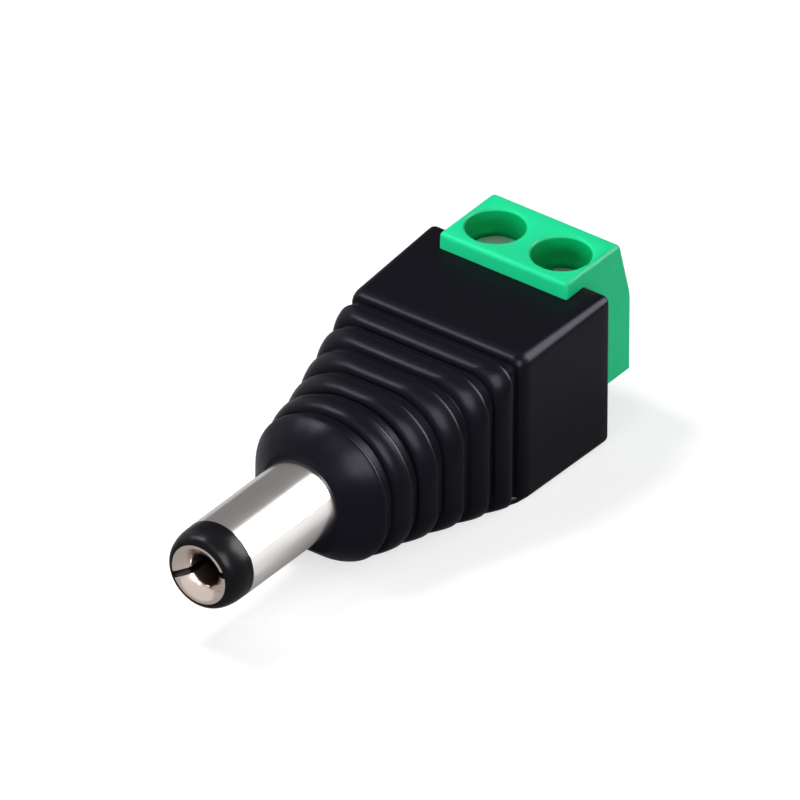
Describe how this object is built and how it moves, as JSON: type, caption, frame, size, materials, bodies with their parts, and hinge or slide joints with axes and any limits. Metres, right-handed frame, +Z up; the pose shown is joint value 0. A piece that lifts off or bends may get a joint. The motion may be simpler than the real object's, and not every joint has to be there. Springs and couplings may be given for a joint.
{
  "type": "dc barrel plug",
  "caption": "Coaxial DC power plug with a ribbed black housing and a green screw terminal block for bare wires.",
  "frame": {"origin": "on the plug's axis, where the barrel leaves the nose of the housing", "axes": "-Y along the barrel towards its tip, +Z up, the way the terminal screws are reached, +X towards the pole wired to the centre contact"},
  "size_m": [0.0138, 0.0385, 0.0119],
  "materials": {
    "black_plastic": "moulded, satin",
    "green_plastic": "moulded, semi-gloss",
    "tip_plastic": "moulded",
    "nickel_plate": "bright nickel plate",
    "contact_metal": "nickel-plated phosphor bronze",
    "cage_metal": "plated",
    "pin_metal": "tinned",
    "screw_steel": "zinc-plated steel",
    "lead_red": "flexible vinyl",
    "lead_black": "flexible vinyl",
    "copper": "tinned copper strands",
    "solder": "lead-free solder"
  },
  "bodies": {
    "shell": {"housing": "black_plastic", "barrel_sleeve": "nickel_plate", "barrel_insulator": "tip_plastic", "centre_contact": "contact_metal", "sleeve_lug": "pin_metal", "terminal_block": "green_plastic", "terminal_cage_left": "cage_metal", "terminal_pin_left": "pin_metal", "lead_insulation_left": "lead_black", "lead_core_left": "copper", "solder_tail_left": "solder", "solder_pin_left": "solder", "terminal_cage_right": "cage_metal", "terminal_pin_right": "pin_metal", "lead_insulation_right": "lead_red", "lead_core_right": "copper", "solder_tail_right": "solder", "solder_pin_right": "solder"},
    "guard_left": {"wire_guard_left": "screw_steel"},
    "screw_left": {"terminal_screw_left": "screw_steel"},
    "guard_right": {"wire_guard_right": "screw_steel"},
    "screw_right": {"terminal_screw_right": "screw_steel"}
  },
  "joints": [
    {"name": "clamp_travel_left", "type": "slide", "parent": "shell", "child": "guard_left", "axis": [0, 0, 1], "range_m": [-0.00111, 0.00104]},
    {"name": "screw_turn_left", "type": "hinge", "parent": "guard_left", "child": "screw_left", "pos_m": [-0.00254, 0.02375, 0], "axis": [0, 0, 1], "range_deg": [-889, 833]},
    {"name": "clamp_travel_right", "type": "slide", "parent": "shell", "child": "guard_right", "axis": [0, 0, 1], "range_m": [-0.00076, 0.00139]},
    {"name": "screw_turn_right", "type": "hinge", "parent": "guard_right", "child": "screw_right", "pos_m": [0.00254, 0.02375, 0], "axis": [0, 0, 1], "range_deg": [-609, 1113]}
  ],
  "couplings": [
    {"joint": "screw_turn_left", "follows": "clamp_travel_left", "rad_per_m": 13963},
    {"joint": "screw_turn_right", "follows": "clamp_travel_right", "rad_per_m": 13963}
  ]
}
